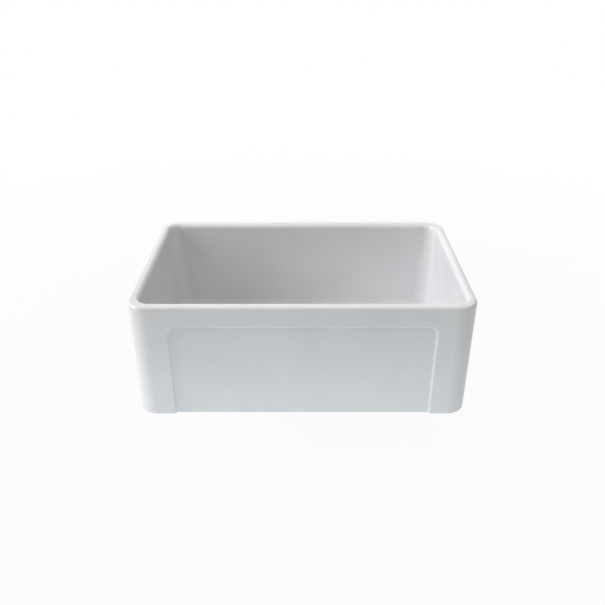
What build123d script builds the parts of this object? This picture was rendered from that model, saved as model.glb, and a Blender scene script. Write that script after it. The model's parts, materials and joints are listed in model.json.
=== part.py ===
"""Farmhouse apron front sink: a glazed fireclay basin with its basket strainer drain.

Millimetres. The origin is where the drain's axis meets the plane of the base, +Z is up
and the apron faces -Y. Everything but the basin is centred on the drain's axis.
"""
from build123d import *
from math import cos, radians, sin, tan
import os

# ---------------------------------------------------------------- basin
basin_length = 690.0        # left to right
basin_width = 457.0         # apron to back
basin_height = 254.0
end_wall = 20.0             # left and right, at the rim
long_wall = 24.5            # apron and back, at the rim
outer_corner = 41.0         # plan radius of the four outer corners
bowl_corner = 26.0          # plan radius of the four inner corners at the rim
bowl_foot_corner = 34.0     # and at the floor
bowl_draft = 2.0            # degrees that each inner wall leans out
floor_thickness = 22.0      # at the drain
floor_fall = 0.015          # rise of the floor per millimetre away from the drain
floor_round = 30.0          # between the floor and the walls
rim_outer_round = 6.0
rim_inner_round = 10.0
base_round = 3.0

# The shallow panel in the apron, open at the base
panel_side_margin = 77.5    # apron's end to the panel's edge
panel_top_margin = 42.0     # rim to the panel's edge
panel_corner = 19.0
panel_depth = 5.0
panel_slope = 3.5           # width of the sloping step round it
panel_edge_round = 1.6

# ---------------------------------------------------------------- hole for the drain
drain_hole_radius = 45.0    # the standard 3-1/2 in opening
rabbet_radius = 58.0
rabbet_depth = 3.6
rabbet_round = 3.0          # softened mouth of the rabbet
underside_pad_radius = 66.0
underside_pad_depth = 3.0
underside_pad_round = 2.0   # between the pad and the base

# ---------------------------------------------------------------- strainer body
flange_radius = 56.0
flange_thickness = 2.4
flange_lip = 1.0            # thickness left at the flange's outer edge
flange_lip_width = 3.0
flange_dish = 1.0           # how far the flange sinks towards the mouth
flange_crown_round = 6.0
flange_lip_round = 0.8
mouth_round = 3.5
strainer_radius = 42.75
strainer_wall = 2.25
strainer_depth = 50.0       # flange to the stopper's seat
shoulder_height = 8.0       # sloping foot of the cup
shoulder_round = 5.0        # inside; the outside adds the wall
seat_radius = 33.0
seat_round = 1.5
strainer_floor = 3.0
outlet_radius = 20.5        # bore of the outlet neck
neck_radius = 23.9          # 1-1/2 in slip joint thread
neck_length = 20.0
spider_drop = 7.0           # stopper's seat to the top of the spider
spider_height = 3.5
spider_bars = 6
spider_bar_width = 2.4
boss_radius = 8.0
boss_bore_radius = 5.2
putty_thickness = 1.0

# ---------------------------------------------------------------- under the basin
thread_clearance = 0.3      # between a threaded wall and its nut
gasket_radius = 55.0
gasket_thickness = 4.0
friction_ring_thickness = 0.8
lock_nut_radius = 48.5
lock_nut_height = 12.0
lock_nut_collar = 4.0       # height of its full-width pressing face
lock_nut_lugs = 6
lock_nut_lug_reach = 54.0
lock_nut_lug_width = 12.0
lug_round = 2.0

# ---------------------------------------------------------------- tailpiece and its joint
tube_radius = 19.05         # 1-1/2 in tube
tube_wall = 1.2
tube_length = 94.0
tube_flange_reach = 3.5     # flange past the tube
tube_flange_thickness = 1.5
tube_end_chamfer = 0.4
washer_thickness = 2.5
coupling_bore_clearance = 0.95
coupling_grip = 14.0        # thread engaged on the neck
coupling_floor = 3.0
coupling_flats = 55.5       # across flats
coupling_chamfer = 2.0

# ---------------------------------------------------------------- lift-out basket
play = 0.3                  # between pieces that move apart
running_clearance = 0.05    # radial, basket on its post
stopper_radius = 30.0
stopper_thickness = 4.0
stopper_bevel = 1.2
plate_radius = 22.0
plate_thickness = 1.2
stud_radius = 3.0
stud_clearance = 0.15
journal_radius = 4.5
collar_radius = 7.0
collar_thickness = 1.6
post_radius = 3.2
post_nut_flats = 10.0
post_nut_height = 4.0
basket_wall = 1.0
basket_foot_radius = 28.0
basket_mouth_radius = 35.5
basket_height = 33.0
basket_rim_radius = 38.0    # inside the turned-down rim
basket_rim_drop = 3.0
basket_bend = 3.0
slot_count = 20
slot_width = 3.6
slot_length = 19.0
hole_radius = 1.8
hole_ring_radii = (12.0, 17.5, 23.0)
hole_ring_counts = (8, 12, 16)
knob_radius = 11.0
knob_height = 13.0
knob_stem_radius = 5.5
knob_stem_height = 5.0
knob_brim = 2.0             # thickness of the knob's edge
knob_brim_round = 0.7
knob_below_floor = 2.0      # knob's crown under the level of the flange
knob_socket_depth = 7.0
tip_neck_radius = 3.9
tip_bulb_radius = 4.8
tip_length = 15.0
tip_socket_depth = 6.0

same_level = 0.01           # how far apart two edges on one level may be

# ---------------------------------------------------------------- levels that follow
floor_level = floor_thickness
rabbet_level = floor_level - rabbet_depth
flange_level = rabbet_level + putty_thickness
flange_top = flange_level + flange_thickness
seat_level = flange_top - strainer_depth
neck_top = seat_level - strainer_floor
neck_foot = neck_top - neck_length
spider_level = seat_level - spider_drop - spider_height
gasket_foot = underside_pad_depth - gasket_thickness
ring_foot = gasket_foot - friction_ring_thickness
lock_nut_foot = ring_foot - lock_nut_height
washer_foot = neck_foot - washer_thickness
tube_flange_foot = washer_foot - tube_flange_thickness
coupling_foot = tube_flange_foot - coupling_floor
tube_foot = tube_flange_foot - tube_length
stopper_top = seat_level + stopper_thickness
plate_top = stopper_top + plate_thickness
basket_foot = plate_top + play
collar_level = basket_foot + basket_wall + play
basket_rim_level = basket_foot + basket_height
knob_top = flange_top - knob_below_floor
knob_foot = knob_top - knob_height
post_nut_foot = seat_level - post_nut_height

panel_half_length = basin_length / 2 - panel_side_margin
panel_top = basin_height - panel_top_margin
bowl_length = basin_length - 2 * end_wall
bowl_width = basin_width - 2 * long_wall
bowl_lean = (basin_height - floor_level) * tan(radians(bowl_draft))
strainer_bore = strainer_radius - strainer_wall
tube_flange_radius = tube_radius + tube_flange_reach
tube_bore = tube_radius - tube_wall


def ring(inner, outer, foot, top):
    """A flat ring on the drain's axis, drawn as its section and turned."""
    with BuildSketch(Plane.XZ) as section:
        with BuildLine():
            Polyline((inner, foot), (outer, foot), (outer, top), (inner, top), close=True)
        make_face()
    revolve(section.sketch, axis=Axis.Z)


def draw_panel(inset):
    """One level of the apron's panel, which runs out past the base."""
    width = 2 * (panel_half_length - inset)
    top = panel_top - inset
    run_out = base_round + panel_depth
    with Locations((0, (top - run_out) / 2)):
        Rectangle(width, top + run_out)
    fillet(vertices().group_by(Axis.Y)[-1], panel_corner - inset)


# ---------------------------------------------------------------- sink_basin
# The space inside the bowl: leaning walls on a floor that falls to the drain from all sides
with BuildPart() as bowl_space:
    with BuildSketch(Plane.XY.offset(floor_level)):
        RectangleRounded(bowl_length - 2 * bowl_lean, bowl_width - 2 * bowl_lean, bowl_foot_corner)
    with BuildSketch(Plane.XY.offset(basin_height)):
        RectangleRounded(bowl_length, bowl_width, bowl_corner)
    loft(ruled=True)
    floor_reach = basin_length
    with BuildSketch(Plane.XZ):
        with BuildLine():
            Polyline(
                (rabbet_radius, floor_level),
                (floor_reach, floor_level),
                (floor_reach, floor_level + floor_fall * (floor_reach - rabbet_radius)),
                close=True,
            )
        make_face()
    revolve(axis=Axis.Z, mode=Mode.SUBTRACT)
    sloping_floor = bowl_space.faces().sort_by(Axis.Z)[1]
    fillet(sloping_floor.outer_wire().edges(), floor_round)

with BuildPart() as sink_basin:
    with BuildSketch():
        RectangleRounded(basin_length, basin_width, outer_corner)
    extrude(amount=basin_height)

    # Apron panel: a sloping step runs up one side, over the top and down the other
    apron_face = Plane.XZ.offset(basin_width / 2)
    with BuildSketch(apron_face):
        draw_panel(0)
    with BuildSketch(apron_face.offset(-panel_depth)):
        draw_panel(panel_slope)
    loft(ruled=True, mode=Mode.SUBTRACT)
    for level in (-basin_width / 2, -basin_width / 2 + panel_depth):
        panel_edges = (
            sink_basin.edges()
            .filter_by_position(Axis.Y, level - same_level, level + same_level)
            .filter_by_position(Axis.X, -panel_half_length, panel_half_length)
            .filter_by_position(Axis.Z, base_round, panel_top)
        )
        fillet(panel_edges, panel_edge_round)
    fillet(sink_basin.faces().sort_by(Axis.Z)[0].edges(), base_round)

    add(bowl_space.part, mode=Mode.SUBTRACT)
    fillet(sink_basin.faces().sort_by(Axis.Z)[-1].outer_wire().edges(), rim_outer_round)
    fillet(sink_basin.faces().sort_by(Axis.Z)[-1].inner_wires()[0].edges(), rim_inner_round)

    # Drain hole, its rabbet in the floor and the smooth pad that the gasket bears on
    with BuildSketch(Plane.XY.offset(rabbet_level)):
        Circle(rabbet_radius)
    extrude(amount=rabbet_depth, mode=Mode.SUBTRACT)
    rabbet_edges = sink_basin.edges().filter_by_position(Axis.Z, floor_level, floor_level)
    fillet(rabbet_edges, rabbet_round)
    with BuildSketch():
        Circle(underside_pad_radius)
    extrude(amount=underside_pad_depth, mode=Mode.SUBTRACT)
    pad_edge = sink_basin.faces().sort_by(Axis.Z)[0].inner_wires()[0].edges()
    fillet(pad_edge, underside_pad_round)
    with BuildSketch():
        Circle(drain_hole_radius)
    extrude(amount=floor_level, mode=Mode.SUBTRACT)
sink_basin.part.label = "sink_basin"

# ---------------------------------------------------------------- strainer_body
with BuildPart() as strainer_body:
    with BuildSketch(Plane.XZ):
        with BuildLine():
            Polyline(
                (outlet_radius, neck_foot),
                (neck_radius, neck_foot),
                (neck_radius, neck_top),
                (seat_radius + strainer_wall, neck_top),
                (strainer_radius, seat_level + shoulder_height),
                (strainer_radius, flange_level),
                (flange_radius, flange_level),
                (flange_radius, flange_level + flange_lip),
                (flange_radius - flange_lip_width, flange_top),
                (strainer_bore, flange_top - flange_dish),
                (strainer_bore, seat_level + shoulder_height),
                (seat_radius, seat_level),
                (outlet_radius, seat_level),
                close=True,
            )
        make_face()
    revolve(axis=Axis.Z)
    # Spider across the outlet, with the boss that takes the basket's tip
    with BuildSketch(Plane.XY.offset(spider_level)):
        with PolarLocations(outlet_radius / 2, spider_bars):
            Rectangle(outlet_radius + strainer_wall, spider_bar_width)
        Circle(boss_radius)
        Circle(boss_bore_radius, mode=Mode.SUBTRACT)
    extrude(amount=spider_height)
    # Rounded turns of the pressed wall: at each level, the edge farthest from the axis
    pressed_rounds = [
        (flange_top - flange_dish, mouth_round),
        (flange_top, flange_crown_round),
        (flange_level + flange_lip, flange_lip_round),
        (seat_level + shoulder_height, shoulder_round + strainer_wall),
        (seat_level + shoulder_height, shoulder_round),
        (seat_level, seat_round),
        (neck_top, seat_round + strainer_wall),
    ]
    for level, turn_radius in pressed_rounds:
        circles = (
            strainer_body.edges()
            .filter_by(GeomType.CIRCLE)
            .filter_by_position(Axis.Z, level - same_level, level + same_level)
            .sort_by(SortBy.RADIUS)
        )
        fillet(circles[-1], turn_radius)
strainer_body.part.label = "strainer_body"

# ---------------------------------------------------------------- seals and nuts
with BuildPart() as flange_seal:
    ring(drain_hole_radius, flange_radius, rabbet_level, flange_level)
flange_seal.part.label = "flange_seal"

with BuildPart() as drain_gasket:
    ring(strainer_radius + thread_clearance, gasket_radius, gasket_foot, underside_pad_depth)
drain_gasket.part.label = "drain_gasket"

with BuildPart() as friction_ring:
    ring(strainer_radius + thread_clearance, gasket_radius, ring_foot, gasket_foot)
friction_ring.part.label = "friction_ring"

with BuildPart() as lock_nut:
    with BuildSketch(Plane.XY.offset(lock_nut_foot)):
        with PolarLocations(lock_nut_lug_reach / 2, lock_nut_lugs):
            Rectangle(lock_nut_lug_reach, lock_nut_lug_width)
        fillet(vertices().group_by(SortBy.DISTANCE)[-1], lug_round)
        Circle(lock_nut_radius)
    extrude(amount=lock_nut_height)
    with BuildSketch(Plane.XY.offset(ring_foot)):
        Circle(lock_nut_lug_reach)
    extrude(amount=-lock_nut_collar)
    with BuildSketch(Plane.XY.offset(lock_nut_foot)):
        Circle(strainer_radius + thread_clearance)
    extrude(amount=lock_nut_height, mode=Mode.SUBTRACT)
lock_nut.part.label = "lock_nut"

# ---------------------------------------------------------------- tailpiece and its joint
with BuildPart() as tailpiece_washer:
    ring(tube_bore, tube_flange_radius, washer_foot, neck_foot)
tailpiece_washer.part.label = "tailpiece_washer"

with BuildPart() as tailpiece:
    ring(tube_bore, tube_radius, tube_foot, tube_flange_foot)
    ring(tube_bore, tube_flange_radius, tube_flange_foot, washer_foot)
    chamfer(tailpiece.faces().sort_by(Axis.Z)[0].edges(), tube_end_chamfer)
tailpiece.part.label = "tailpiece"

with BuildPart() as coupling_nut:
    with BuildSketch(Plane.XY.offset(coupling_foot)):
        RegularPolygon(coupling_flats / 2, 6, major_radius=False)
    extrude(amount=neck_foot + coupling_grip - coupling_foot)
    with BuildSketch(Plane.XY.offset(tube_flange_foot)):
        Circle(neck_radius + thread_clearance)
    extrude(amount=neck_foot + coupling_grip - tube_flange_foot, mode=Mode.SUBTRACT)
    with BuildSketch(Plane.XY.offset(coupling_foot)):
        Circle(tube_radius + coupling_bore_clearance)
    extrude(amount=coupling_floor, mode=Mode.SUBTRACT)
    chamfer(
        coupling_nut.faces().sort_by(Axis.Z)[-1].outer_wire().edges()
        + coupling_nut.faces().sort_by(Axis.Z)[0].outer_wire().edges(),
        coupling_chamfer,
    )
coupling_nut.part.label = "coupling_nut"

# ---------------------------------------------------------------- basket_cup
with BuildPart() as basket_cup:
    with BuildSketch(Plane.XZ):
        with BuildLine():
            FilletPolyline(
                (journal_radius + running_clearance, basket_foot),
                (basket_foot_radius, basket_foot),
                (basket_mouth_radius, basket_rim_level),
                (basket_rim_radius, basket_rim_level),
                (basket_rim_radius, basket_rim_level - basket_rim_drop),
                radius=(basket_bend, basket_wall / 2, basket_wall / 2),
            )
            offset(amount=basket_wall, side=Side.LEFT)
        make_face()
    revolve(axis=Axis.Z)
    # Upright slots round the wall
    slot_level = basket_foot + basket_height / 2
    slot_planes = []
    for number in range(slot_count):
        angle = radians(360 / slot_count * number)
        slot_planes.append(
            Plane(
                origin=(0, 0, slot_level),
                x_dir=(-sin(angle), cos(angle), 0),
                z_dir=(cos(angle), sin(angle), 0),
            )
        )
    with BuildSketch(*slot_planes):
        SlotOverall(slot_length, slot_width, rotation=90)
    extrude(amount=basket_rim_radius, mode=Mode.SUBTRACT)
    # Rings of round holes in the bottom
    with BuildSketch(Plane.XY.offset(basket_foot)):
        for ring_radius, ring_count in zip(hole_ring_radii, hole_ring_counts):
            with PolarLocations(ring_radius, ring_count):
                Circle(hole_radius)
    extrude(amount=basket_wall, mode=Mode.SUBTRACT)
basket_cup.part.label = "basket_cup"

# ---------------------------------------------------------------- stopper and post
with BuildPart() as stopper_seal:
    ring(stud_radius + stud_clearance, stopper_radius, seat_level, stopper_top)
    chamfer(stopper_seal.faces().sort_by(Axis.Z)[0].outer_wire().edges(), stopper_bevel)
stopper_seal.part.label = "stopper_seal"

with BuildPart() as seal_plate:
    ring(stud_radius + stud_clearance, plate_radius, stopper_top, plate_top)
seal_plate.part.label = "seal_plate"

with BuildPart() as basket_post:
    stud_foot = post_nut_foot - tip_socket_depth
    ring(0, stud_radius, stud_foot, plate_top)
    ring(0, journal_radius, plate_top, collar_level)
    ring(0, collar_radius, collar_level, collar_level + collar_thickness)
    ring(0, post_radius, collar_level, knob_foot + knob_socket_depth)
basket_post.part.label = "basket_post"

with BuildPart() as post_nut:
    with BuildSketch(Plane.XY.offset(post_nut_foot)):
        RegularPolygon(post_nut_flats / 2, 6, major_radius=False)
        Circle(stud_radius + stud_clearance, mode=Mode.SUBTRACT)
    extrude(amount=post_nut_height)
post_nut.part.label = "post_nut"

with BuildPart() as snap_tip:
    with BuildSketch(Plane.XZ):
        with BuildLine():
            tip_foot = post_nut_foot - tip_length
            bulb_level = tip_foot + tip_bulb_radius
            Line((0, tip_foot), (0, post_nut_foot))
            Line((0, post_nut_foot), (tip_neck_radius, post_nut_foot))
            Line((tip_neck_radius, post_nut_foot), (tip_neck_radius, bulb_level + tip_neck_radius))
            Line(
                (tip_neck_radius, bulb_level + tip_neck_radius),
                (tip_bulb_radius, bulb_level),
            )
            RadiusArc((tip_bulb_radius, bulb_level), (0, tip_foot), tip_bulb_radius)
        make_face()
    revolve(axis=Axis.Z)
    with BuildSketch(Plane.XY.offset(post_nut_foot)):
        Circle(stud_radius + stud_clearance)
    extrude(amount=-tip_socket_depth, mode=Mode.SUBTRACT)
snap_tip.part.label = "snap_tip"

with BuildPart() as basket_knob:
    brim_level = knob_foot + knob_stem_height
    crown_rise = knob_height - knob_stem_height - knob_brim
    crown_radius = (knob_radius**2 + crown_rise**2) / (2 * crown_rise)
    with BuildSketch(Plane.XZ):
        with BuildLine():
            Polyline(
                (0, knob_top),
                (0, knob_foot),
                (knob_stem_radius, knob_foot),
                (knob_stem_radius, brim_level),
                (knob_radius, brim_level),
                (knob_radius, brim_level + knob_brim),
            )
            RadiusArc((knob_radius, brim_level + knob_brim), (0, knob_top), -crown_radius)
        make_face()
    revolve(axis=Axis.Z)
    brim_face = (
        basket_knob.faces()
        .filter_by(GeomType.CYLINDER)
        .filter_by_position(Axis.Z, brim_level, brim_level + knob_brim)
    )
    fillet(brim_face.edges().filter_by(GeomType.CIRCLE), knob_brim_round)
    with BuildSketch(Plane.XY.offset(knob_foot)):
        Circle(post_radius + stud_clearance)
    extrude(amount=knob_socket_depth, mode=Mode.SUBTRACT)
basket_knob.part.label = "basket_knob"

# ---------------------------------------------------------------- files
os.makedirs("parts", exist_ok=True)
export_step(sink_basin.part, "parts/sink_basin.step")
export_step(flange_seal.part, "parts/flange_seal.step")
export_step(strainer_body.part, "parts/strainer_body.step")
export_step(drain_gasket.part, "parts/drain_gasket.step")
export_step(friction_ring.part, "parts/friction_ring.step")
export_step(lock_nut.part, "parts/lock_nut.step")
export_step(tailpiece_washer.part, "parts/tailpiece_washer.step")
export_step(tailpiece.part, "parts/tailpiece.step")
export_step(coupling_nut.part, "parts/coupling_nut.step")
export_step(basket_cup.part, "parts/basket_cup.step")
export_step(stopper_seal.part, "parts/stopper_seal.step")
export_step(seal_plate.part, "parts/seal_plate.step")
export_step(basket_post.part, "parts/basket_post.step")
export_step(basket_knob.part, "parts/basket_knob.step")
export_step(post_nut.part, "parts/post_nut.step")
export_step(snap_tip.part, "parts/snap_tip.step")
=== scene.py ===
import json
import math

import bmesh
import bpy
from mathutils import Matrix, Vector


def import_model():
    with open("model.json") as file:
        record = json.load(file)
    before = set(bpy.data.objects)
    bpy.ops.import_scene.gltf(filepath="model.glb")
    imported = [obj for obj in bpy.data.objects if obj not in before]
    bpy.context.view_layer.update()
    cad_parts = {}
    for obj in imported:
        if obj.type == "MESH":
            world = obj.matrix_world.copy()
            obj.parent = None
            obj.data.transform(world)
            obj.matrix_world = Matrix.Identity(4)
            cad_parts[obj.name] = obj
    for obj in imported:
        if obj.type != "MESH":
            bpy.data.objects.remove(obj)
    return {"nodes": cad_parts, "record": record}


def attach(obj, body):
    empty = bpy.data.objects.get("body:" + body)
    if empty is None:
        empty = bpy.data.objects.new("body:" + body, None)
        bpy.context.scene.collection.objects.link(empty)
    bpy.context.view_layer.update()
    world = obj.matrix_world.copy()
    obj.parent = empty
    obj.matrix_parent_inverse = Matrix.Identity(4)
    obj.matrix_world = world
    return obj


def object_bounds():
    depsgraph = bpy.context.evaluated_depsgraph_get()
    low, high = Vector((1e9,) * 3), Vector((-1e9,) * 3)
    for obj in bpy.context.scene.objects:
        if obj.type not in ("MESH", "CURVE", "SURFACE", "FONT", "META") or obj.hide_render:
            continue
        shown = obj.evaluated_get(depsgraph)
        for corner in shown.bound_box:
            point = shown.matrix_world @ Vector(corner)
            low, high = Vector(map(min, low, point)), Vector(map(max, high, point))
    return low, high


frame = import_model()
cad_low, cad_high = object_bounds()
nodes = frame["nodes"]


def srgb(*values):
    """Linear light from a colour as it looks on screen, 0 to 1."""
    return tuple(v / 12.92 if v <= 0.04045 else ((v + 0.055) / 1.055) ** 2.4 for v in values)


# ------------------------------------------------------------------ sizes
# Metres and degrees. The origin is on the drain's axis, at the height of the basin's base.
FLOOR_LEVEL = cad_low.z - 0.0002        # just under the foot of the tailpiece
FLOOR_REACH = 40.0
WHITE_FROM, WHITE_TO = 0.7, 2.5         # the floor fades into the white between these radii
WHITE_SHARE = 0.95                      # of the floor near the sink, where it keeps the shadow

PAD_REACH = 0.067                       # the pad under the drain hole, where the gasket bears
PAD_TOP = 0.0045
GLAZE_ENDS = (0.0006, 0.0011)           # heights between which the glaze runs out on the base
GLAZE_WANDER = 0.0022

CUP_RADIUS = 0.04275                    # threaded outside of the strainer body
CUP_THREAD = (-0.0178, -0.0148)         # from and to this height
CUP_PITCH, CUP_RIDGE = 0.0021, 0.00075
NECK_RADIUS = 0.0239                    # threaded outlet neck
NECK_THREAD = (-0.0368, -0.0318)
NECK_PITCH, NECK_RIDGE = 0.0022, 0.0007
THREAD_STEPS = 96                       # per turn
THREAD_RUN_IN = 0.3                     # turns over which a thread rises at each end
# the ridge's outline: along the axis in pitches, and out of the cylinder in ridge heights
THREAD_OUTLINE = (
    (-0.46, -0.12), (-0.30, 0.35), (-0.12, 0.9), (0.0, 1.0), (0.12, 0.9), (0.30, 0.35), (0.46, -0.12),
)

# ------------------------------------------------------------------ lights and camera
AIM = (0.0, 0.0, 0.12)
AMBIENT = 0.360
AMBIENT_COLOUR = (1.018, 0.994, 0.989)
PURE_WHITE = (1.0, 1.0, 1.0, 1.0)
FLOOR_PAINT = srgb(0.74, 0.74, 0.74)
SOFTBOX_DISTANCE = 8.0
SOFTBOX_SIDE = 4.4
SOFTBOXES = (                           # name, azimuth, elevation, watts, colour
    ("key_left", -88, 30, 490.0, (0.993, 0.982, 1.025)),
    ("overhead", 0, 88, 117.0, (1.026, 0.985, 0.989)),
    ("fill_back", 180, 20, 42.0, (1.0, 1.0, 1.0)),
)
BOUNCE_PLACE = (0.0, -0.46, -0.14)
BOUNCE_AIM = (0.0, -0.46, 1.0)
BOUNCE_WIDTH, BOUNCE_DEPTH = 1.1, 0.3
BOUNCE_WATTS = 1.28
BOUNCE_COLOUR = (0.905, 1.07, 1.14)

CAMERA_PLACE = (0.0, -1.3650, 0.8712)
CAMERA_PITCH = 59.87                    # from straight down
CAMERA_LENS = 40.05                     # millimetres on the sensor's width below
CAMERA_SENSOR = 36.0
CAMERA_SHIFT = 0.0410
CAMERA_CLIP = (0.05, 200.0)


# ------------------------------------------------------------------ material kit
class Shader:
    """One procedural material: a Principled shader and short calls for the nodes that feed it."""

    def __init__(self, name, **constants):
        self.material = bpy.data.materials.new(name)
        self.material.use_nodes = True
        self.tree = self.material.node_tree
        self.tree.nodes.clear()
        self.out = self.tree.nodes.new("ShaderNodeOutputMaterial")
        self.bsdf = self.tree.nodes.new("ShaderNodeBsdfPrincipled")
        self.tree.links.new(self.bsdf.outputs[0], self.out.inputs[0])
        self.coords = self.tree.nodes.new("ShaderNodeTexCoord").outputs["Object"]
        for key, value in constants.items():
            self.bsdf.inputs[key.replace("_", " ")].default_value = value

    def put(self, socket, value):
        if hasattr(value, "is_output"):
            self.tree.links.new(value, socket)
        else:
            socket.default_value = value

    def node(self, kind, values=(), **settings):
        made = self.tree.nodes.new("ShaderNode" + kind)
        for key, value in settings.items():
            setattr(made, key, value)
        for key, value in dict(values).items():
            self.put(made.inputs[key], value)
        return made

    def math(self, operation, a, b=0.0):
        return self.node("Math", {0: a, 1: b}, operation=operation).outputs[0]

    def add(self, a, b):
        return self.math("ADD", a, b)

    def times(self, a, b):
        return self.math("MULTIPLY", a, b)

    def stretch(self, x, y, z):
        """The coordinates scaled by a factor along each axis."""
        made = self.node("VectorMath", {0: self.coords, 1: (x, y, z)}, operation="MULTIPLY")
        return made.outputs[0]

    def noise(self, size, detail=3.0, vector=None, roughness=0.5, distortion=0.0, seed=0.0):
        """Noise from 0 to 1 with features of about that size in metres."""
        return self.node("TexNoise", {
            "Scale": 1.0 / size, "Detail": detail, "Roughness": roughness,
            "Distortion": distortion, "W": seed, "Vector": vector or self.coords,
        }, noise_dimensions="4D").outputs["Fac"]

    def cells(self, size):
        """Distance to the nearest of many scattered points, in units of size."""
        made = self.node("TexVoronoi", {"Scale": 1.0 / size, "Vector": self.coords})
        return made.outputs["Distance"]

    def span(self, value, low, high, to_low=0.0, to_high=1.0):
        """value from low..high mapped smoothly to to_low..to_high, clamped."""
        return self.node("MapRange", {
            "Value": value, "From Min": low, "From Max": high,
            "To Min": to_low, "To Max": to_high,
        }, interpolation_type="SMOOTHSTEP").outputs[0]

    def mix(self, share, a, b):
        made = self.node("Mix", data_type="RGBA")
        self.put(made.inputs[0], share)
        self.put(made.inputs[6], a if hasattr(a, "is_output") else (*a, 1.0))
        self.put(made.inputs[7], b if hasattr(b, "is_output") else (*b, 1.0))
        return made.outputs[2]

    def bump(self, height, distance, under=None):
        made = self.node("Bump", {"Strength": 1.0, "Distance": distance, "Height": height})
        if under is not None:
            self.put(made.inputs["Normal"], under)
        return made.outputs[0]

    def round_axes(self):
        """Distance from the drain's axis, height, and angle in turns round that axis."""
        x, y, z = self.node("SeparateXYZ", {"Vector": self.coords}).outputs
        radius = self.math("SQRT", self.add(self.times(x, x), self.times(y, y)))
        angle = self.math("DIVIDE", self.math("ARCTAN2", y, x), 2 * math.pi)
        return radius, z, angle

    def lathe(self, along):
        """Coordinates that draw noise out along the turning marks of a lathe or spinning tool."""
        radius, z, angle = self.round_axes()
        turned = self.math("DIVIDE", angle, along)
        return self.node("CombineXYZ", {"X": radius, "Y": z, "Z": turned}).outputs[0]

    def paint(self, **sockets):
        for key, value in sockets.items():
            self.put(self.bsdf.inputs[key.replace("_", " ")], value)
        return self.material


# ------------------------------------------------------------------ materials
def fireclay():
    """White glaze with rare iron specks. The underside and the drain's pad are bare clay."""
    cool_white, warm_white = srgb(0.885, 0.89, 0.895), srgb(0.905, 0.908, 0.908)
    bright_white, iron = srgb(0.915, 0.917, 0.915), srgb(0.62, 0.58, 0.52)
    dark_clay, pale_clay = srgb(0.80, 0.76, 0.69), srgb(0.87, 0.84, 0.78)
    stained_clay = srgb(0.74, 0.69, 0.61)
    s = Shader("glazed_fireclay", IOR=1.52)
    radius, z, _ = s.round_axes()

    wander = s.math("SUBTRACT", s.noise(0.018, 4.0, seed=1.0), 0.5)
    line = s.add(z, s.times(wander, GLAZE_WANDER))
    on_pad = s.times(s.math("LESS_THAN", radius, PAD_REACH), s.math("LESS_THAN", z, PAD_TOP))
    bare = s.math("MAXIMUM", s.span(line, *GLAZE_ENDS, 1.0, 0.0), on_pad)

    clouds = s.noise(0.11, 3.0, seed=2.0)
    fine = s.noise(0.006, 2.0, seed=3.0)
    specks = s.span(s.cells(0.009), 0.02, 0.035, 1.0, 0.0)
    rare = s.span(s.noise(0.03, 1.0, seed=4.0), 0.6, 0.64)
    glaze = s.mix(s.span(clouds, 0.3, 0.7), cool_white, warm_white)
    glaze = s.mix(s.span(fine, 0.35, 0.8, 0.0, 0.25), glaze, bright_white)
    glaze = s.mix(s.times(s.times(specks, rare), 0.45), glaze, iron)

    grain = s.noise(0.0009, 4.0, seed=5.0, roughness=0.7)
    stain = s.noise(0.05, 4.0, seed=6.0)
    clay = s.mix(s.span(grain, 0.3, 0.7), dark_clay, pale_clay)
    clay = s.mix(s.span(stain, 0.45, 0.75, 0.0, 0.5), clay, stained_clay)

    swell = s.bump(s.noise(0.05, 2.0, seed=7.0), 0.00045)
    peel = s.bump(s.noise(0.0035, 2.0, seed=8.0), 0.000012, swell)
    gloss = s.span(s.noise(0.02, 3.0, seed=9.0), 0.3, 0.7, 0.10, 0.17)
    return s.paint(
        Base_Color=s.mix(bare, glaze, clay),
        Roughness=s.add(gloss, s.times(bare, 0.65)),
        Normal=s.bump(s.times(grain, bare), 0.00018, peel),
    )


def spun_steel():
    """Stainless steel with the fine rings that spinning and turning leave."""
    groove, ridge = srgb(0.66, 0.66, 0.6501), srgb(0.79, 0.79, 0.78)
    dull = srgb(0.60, 0.595, 0.58)
    s = Shader("spun_stainless", Metallic=1.0, Anisotropic=0.6)
    rings = s.noise(0.00035, 3.0, s.lathe(40.0), 0.6, seed=11.0)
    broad = s.noise(0.003, 2.0, s.lathe(40.0), seed=12.0)
    smear = s.noise(0.012, 4.0, seed=13.0)
    colour = s.mix(s.span(rings, 0.3, 0.7), groove, ridge)
    colour = s.mix(s.span(smear, 0.5, 0.8, 0.0, 0.25), colour, dull)
    roughness = s.add(s.span(rings, 0.25, 0.75, 0.17, 0.27), s.span(smear, 0.4, 0.8, 0.0, 0.08))
    return s.paint(
        Base_Color=colour,
        Roughness=roughness,
        Tangent=s.node("Tangent", direction_type="RADIAL", axis="Z").outputs[0],
        Normal=s.bump(s.add(rings, s.times(broad, 1.5)), 0.000006),
    )


def chrome():
    hazy, clear = srgb(0.70, 0.707, 0.72), srgb(0.735, 0.74, 0.75)
    s = Shader("bright_chrome", Metallic=1.0)
    smudge = s.noise(0.016, 4.0, seed=21.0)
    fine = s.noise(0.0006, 2.0, s.lathe(60.0), seed=22.0)
    return s.paint(
        Base_Color=s.mix(s.span(smudge, 0.35, 0.7), hazy, clear),
        Roughness=s.add(s.span(smudge, 0.35, 0.75, 0.06, 0.11), s.span(fine, 0.4, 0.8, 0.0, 0.03)),
        Normal=s.bump(fine, 0.0000015),
    )


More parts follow.
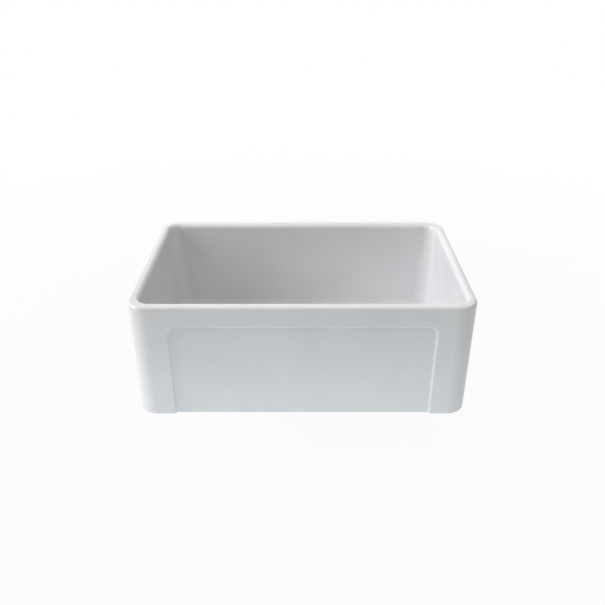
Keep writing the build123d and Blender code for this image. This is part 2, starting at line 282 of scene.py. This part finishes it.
def cast_metal():
    """Yellow nut metal, as cast, with tarnish and worn grains."""
    yellow, tarnished, worn = srgb(0.74, 0.64, 0.42), srgb(0.58, 0.49, 0.33), srgb(0.83, 0.75, 0.55)
    s = Shader("cast_nut_metal", Metallic=1.0)
    grit = s.noise(0.0008, 4.0, seed=31.0, roughness=0.65)
    tarnish = s.noise(0.012, 5.0, seed=32.0)
    colour = s.mix(s.span(tarnish, 0.35, 0.7), yellow, tarnished)
    return s.paint(
        Base_Color=s.mix(s.span(grit, 0.55, 0.8, 0.0, 0.5), colour, worn),
        Roughness=s.add(s.span(grit, 0.3, 0.7, 0.32, 0.48), s.span(tarnish, 0.4, 0.8, 0.0, 0.12)),
        Normal=s.bump(grit, 0.00012),
    )


def rubber():
    black, bloomed, dusty = srgb(0.12, 0.12, 0.122), srgb(0.185, 0.185, 0.185), srgb(0.24, 0.24, 0.235)
    s = Shader("black_rubber_moulded", IOR=1.5)
    skin = s.noise(0.0011, 4.0, seed=41.0, roughness=0.7)
    bloom = s.noise(0.014, 4.0, seed=42.0)
    colour = s.mix(s.span(bloom, 0.4, 0.75), black, bloomed)
    return s.paint(
        Base_Color=s.mix(s.span(skin, 0.6, 0.8, 0.0, 0.3), colour, dusty),
        Roughness=s.span(skin, 0.3, 0.7, 0.48, 0.68),
        Normal=s.bump(skin, 0.00005),
    )


def putty():
    shade, light = srgb(0.72, 0.68, 0.58), srgb(0.82, 0.79, 0.70)
    s = Shader("plumbers_putty", IOR=1.45)
    lumps = s.noise(0.0028, 4.0, seed=51.0)
    return s.paint(
        Base_Color=s.mix(s.span(lumps, 0.3, 0.7), shade, light),
        Roughness=0.62,
        Normal=s.bump(lumps, 0.0003),
    )


def fibre():
    """Pressed fibre, with strands drawn out one way and flecks the other."""
    brown, tan, dark = srgb(0.43, 0.31, 0.20), srgb(0.58, 0.45, 0.31), srgb(0.36, 0.25, 0.16)
    s = Shader("pressed_fibre", IOR=1.4)
    strands = s.noise(0.0011, 4.0, s.stretch(1.0, 0.25, 1.0), 0.7, 0.6, seed=61.0)
    flecks = s.noise(0.004, 3.0, s.stretch(0.3, 1.0, 1.0), 0.6, 0.4, seed=62.0)
    colour = s.mix(s.span(strands, 0.3, 0.7), brown, tan)
    return s.paint(
        Base_Color=s.mix(s.span(flecks, 0.55, 0.75, 0.0, 0.5), colour, dark),
        Roughness=0.82,
        Normal=s.bump(strands, 0.00008),
    )


def plastic(name, light, dark, roughness, seed):
    s = Shader(name, IOR=1.5, Subsurface_Weight=0.12, Subsurface_Scale=0.002)
    flow = s.noise(0.006, 3.0, seed=seed)
    skin = s.noise(0.0007, 3.0, seed=seed + 1.0)
    return s.paint(
        Base_Color=s.mix(s.span(flow, 0.3, 0.7), dark, light),
        Roughness=s.span(skin, 0.3, 0.7, roughness - 0.05, roughness + 0.06),
        Normal=s.bump(skin, 0.00002),
    )


finish = {
    "fireclay_glaze": fireclay(),
    "stainless": spun_steel(),
    "chrome_plate": chrome(),
    "nut_metal": cast_metal(),
    "black_rubber": rubber(),
    "putty": putty(),
    "fibre": fibre(),
    "washer_plastic": plastic(
        "washer_polyethylene", srgb(0.88, 0.88, 0.85), srgb(0.82, 0.82, 0.79), 0.42, seed=71.0,
    ),
    "nylon": plastic(
        "nylon_tip_moulded", srgb(0.93, 0.93, 0.89), srgb(0.88, 0.875, 0.83), 0.3, seed=81.0,
    ),
}
for part in frame["record"]["subparts"]:
    nodes[part["node"]].data.materials[0] = finish[part["material_slot"]]


# ------------------------------------------------------------------ threads
def thread(name, radius, bottom, top, pitch, height, body, slot):
    """A rolled thread on a cylinder: a rounded helical ridge that tapers in at both ends."""
    count = int((top - bottom) / pitch * THREAD_STEPS)
    run_in = THREAD_STEPS * THREAD_RUN_IN
    mesh = bmesh.new()
    rows = []
    for i in range(count + 1):
        angle = 2 * math.pi * i / THREAD_STEPS
        level = bottom + pitch * i / THREAD_STEPS
        swell = min(1.0, i / run_in, (count - i) / run_in)
        row = []
        for along, out in THREAD_OUTLINE:
            r = radius + height * (out * swell if out > 0 else out)
            row.append(mesh.verts.new((r * math.cos(angle), r * math.sin(angle), level + pitch * along)))
        rows.append(row)
    for one, two in zip(rows, rows[1:]):
        for k in range(len(THREAD_OUTLINE) - 1):
            mesh.faces.new((one[k], two[k], two[k + 1], one[k + 1]))
        mesh.faces.new((one[-1], two[-1], two[0], one[0]))
    mesh.faces.new(reversed(rows[0]))
    mesh.faces.new(rows[-1])
    bmesh.ops.recalc_face_normals(mesh, faces=mesh.faces)
    data = bpy.data.meshes.new(name)
    mesh.to_mesh(data)
    mesh.free()
    data.shade_smooth()
    data.materials.append(finish[slot])
    made = bpy.data.objects.new(name, data)
    bpy.context.scene.collection.objects.link(made)
    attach(made, body)


thread("strainer_thread", CUP_RADIUS, *CUP_THREAD, CUP_PITCH, CUP_RIDGE, "basin", "stainless")
thread("neck_thread", NECK_RADIUS, *NECK_THREAD, NECK_PITCH, NECK_RIDGE, "basin", "stainless")


# ------------------------------------------------------------------ floor, light and camera
def seen(tree):
    """1 for camera, glossy and transmission rays, which see the white, and 0 for the rest."""
    path = tree.nodes.new("ShaderNodeLightPath").outputs
    one, two = tree.nodes.new("ShaderNodeMath"), tree.nodes.new("ShaderNodeMath")
    two.use_clamp = True
    tree.links.new(path["Is Camera Ray"], one.inputs[0])
    tree.links.new(path["Is Glossy Ray"], one.inputs[1])
    tree.links.new(one.outputs[0], two.inputs[0])
    tree.links.new(path["Is Transmission Ray"], two.inputs[1])
    return two.outputs[0]


def stage_floor():
    r, z = FLOOR_REACH, FLOOR_LEVEL
    mesh = bpy.data.meshes.new("studio_floor")
    mesh.from_pydata([(-r, -r, z), (r, -r, z), (r, r, z), (-r, r, z)], [], [(0, 1, 2, 3)])
    made = bpy.data.objects.new("studio_floor", mesh)
    bpy.context.scene.collection.objects.link(made)
    s = Shader("studio_floor_paint", Roughness=0.9)
    s.paint(Base_Color=(*FLOOR_PAINT, 1.0))
    share = s.span(s.round_axes()[0], WHITE_FROM, WHITE_TO, WHITE_SHARE, 1.0)
    glow = s.node("Emission", {"Color": PURE_WHITE, "Strength": 1.0})
    blend = s.node("MixShader", {
        "Fac": s.times(seen(s.tree), share), 1: s.bsdf.outputs[0], 2: glow.outputs[0],
    })
    s.tree.links.new(blend.outputs[0], s.out.inputs[0])
    mesh.materials.append(s.material)


def world():
    made = bpy.data.worlds.new("studio")
    bpy.context.scene.world = made
    made.use_nodes = True
    tree = made.node_tree
    tree.nodes.clear()
    shades = []
    for colour, strength in (((*AMBIENT_COLOUR, 1.0), AMBIENT), (PURE_WHITE, 1.0)):
        shade = tree.nodes.new("ShaderNodeBackground")
        shade.inputs["Color"].default_value = colour
        shade.inputs["Strength"].default_value = strength
        shades.append(shade)
    blend = tree.nodes.new("ShaderNodeMixShader")
    tree.links.new(seen(tree), blend.inputs[0])
    tree.links.new(shades[0].outputs[0], blend.inputs[1])
    tree.links.new(shades[1].outputs[0], blend.inputs[2])
    out = tree.nodes.new("ShaderNodeOutputWorld")
    tree.links.new(blend.outputs[0], out.inputs[0])


def around(azimuth, elevation, distance):
    """A place round the sink. Azimuth 0 is in front of the apron and -90 is on the left."""
    a, e = math.radians(azimuth), math.radians(elevation)
    direction = Vector((math.sin(a) * math.cos(e), -math.cos(a) * math.cos(e), math.sin(e)))
    return Vector(AIM) + distance * direction


def softbox(name, place, target, width, height, power, colour):
    data = bpy.data.lights.new(name, "AREA")
    data.shape = "RECTANGLE"
    data.size, data.size_y = width, height
    data.energy = power
    data.color = colour
    made = bpy.data.objects.new(name, data)
    bpy.context.scene.collection.objects.link(made)
    made.location = place
    made.rotation_mode = "QUATERNION"
    made.rotation_quaternion = (Vector(target) - Vector(place)).to_track_quat("-Z", "Y")
    made.visible_camera = False
    return made


stage_floor()
world()
for name, azimuth, elevation, watts, colour in SOFTBOXES:
    place = around(azimuth, elevation, SOFTBOX_DISTANCE)
    softbox(name, place, AIM, SOFTBOX_SIDE, SOFTBOX_SIDE, watts, colour)
# light that the pale floor in front throws up at the apron
bounce = softbox(
    "floor_bounce", BOUNCE_PLACE, BOUNCE_AIM, BOUNCE_WIDTH, BOUNCE_DEPTH, BOUNCE_WATTS, BOUNCE_COLOUR,
)
bounce.visible_glossy = False

lens = bpy.data.cameras.new("photo_camera")
lens.sensor_width = CAMERA_SENSOR
lens.lens = CAMERA_LENS
lens.shift_y = CAMERA_SHIFT
lens.clip_start, lens.clip_end = CAMERA_CLIP
camera = bpy.data.objects.new("photo_camera", lens)
bpy.context.scene.collection.objects.link(camera)
camera.location = CAMERA_PLACE
camera.rotation_euler = (math.radians(CAMERA_PITCH), 0.0, 0.0)
bpy.context.scene.camera = camera
bpy.context.scene.view_settings.view_transform = "Standard"
